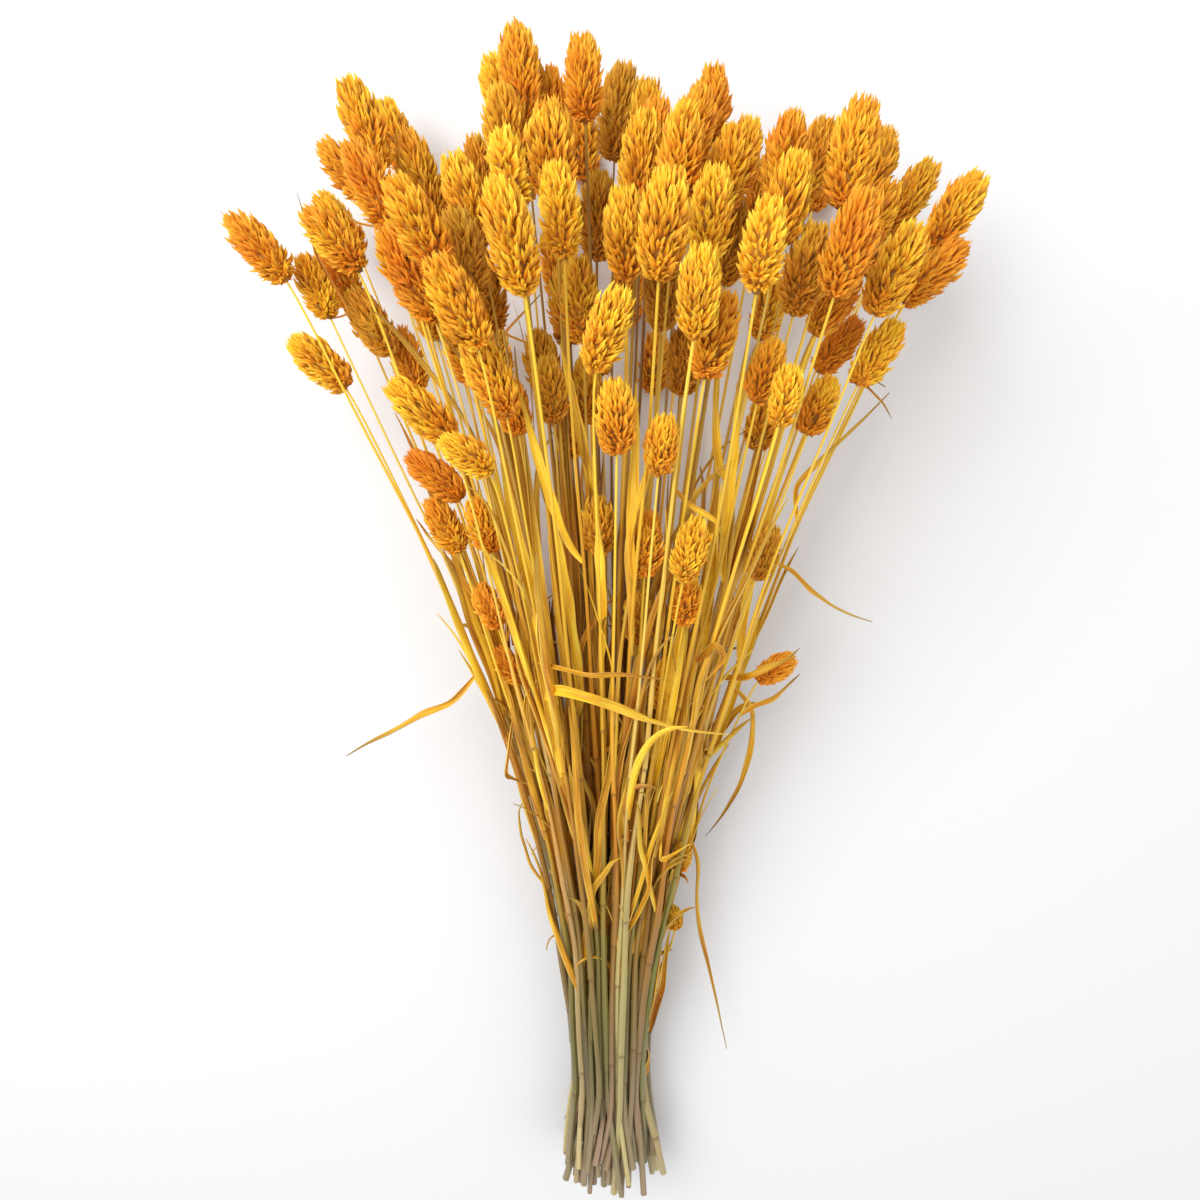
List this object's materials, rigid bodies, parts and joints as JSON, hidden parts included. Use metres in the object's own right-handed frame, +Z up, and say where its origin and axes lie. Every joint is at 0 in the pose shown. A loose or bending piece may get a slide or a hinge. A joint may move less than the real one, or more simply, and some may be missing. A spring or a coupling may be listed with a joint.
{
  "type": "dried canary grass bunch",
  "caption": "Loose bunch of dried canary grass dyed golden orange, seed heads fanned out, lying on its side with its stems gathered.",
  "frame": {"origin": "middle of the bunch's bounding box, on the surface it lies on", "axes": "+Z up from the surface; +Y along the bunch from the cut ends to the heads; +X to the right seen from above with the heads away"},
  "size_m": [0.287, 0.5628, 0.1734],
  "materials": {
    "stalks": "matte",
    "heads": "matte",
    "blades": "matte"
  },
  "bodies": {
    "root": {"stem_pair_01": "stalks", "stem_pair_02": "stalks", "stem_pair_03": "stalks", "stem_pair_04": "stalks", "stem_pair_05": "stalks", "stem_pair_06": "stalks", "stem_pair_07": "stalks", "stem_pair_08": "stalks", "stem_pair_09": "stalks", "stem_pair_10": "stalks", "stem_pair_11": "stalks", "stem_pair_12": "stalks", "stem_pair_13": "stalks", "stem_pair_14": "stalks", "stem_pair_15": "stalks", "stem_pair_16": "stalks", "stem_pair_17": "stalks", "stem_pair_18": "stalks", "stem_pair_19": "stalks", "stem_pair_20": "stalks", "stem_pair_21": "stalks", "stem_pair_22": "stalks", "stem_pair_23": "stalks", "stem_pair_24": "stalks", "stem_pair_25": "stalks", "stem_pair_26": "stalks", "stem_pair_27": "stalks", "stem_pair_28": "stalks", "stem_pair_29": "stalks", "stem_pair_30": "stalks", "stem_pair_31": "stalks", "stem_pair_32": "stalks", "stem_pair_33": "stalks", "stem_pair_34": "stalks", "stem_pair_35": "stalks", "stem_pair_36": "stalks", "stem_pair_37": "stalks", "stem_pair_38": "stalks", "stem_pair_39": "stalks", "stem_pair_40": "stalks", "stem_pair_41": "stalks", "stem_pair_42": "stalks", "stem_pair_43": "stalks", "stem_pair_44": "stalks", "stem_pair_45": "stalks", "stem_pair_46": "stalks", "stem_pair_47": "stalks", "stem_pair_48": "stalks", "stem_pair_49": "stalks", "stem_pair_50": "stalks", "stem_pair_51": "stalks", "stem_pair_52": "stalks", "stem_pair_53": "stalks", "stem_pair_54": "stalks", "stem_pair_55": "stalks", "stem_pair_56": "stalks", "stem_pair_57": "stalks"}
  },
  "joints": []
}
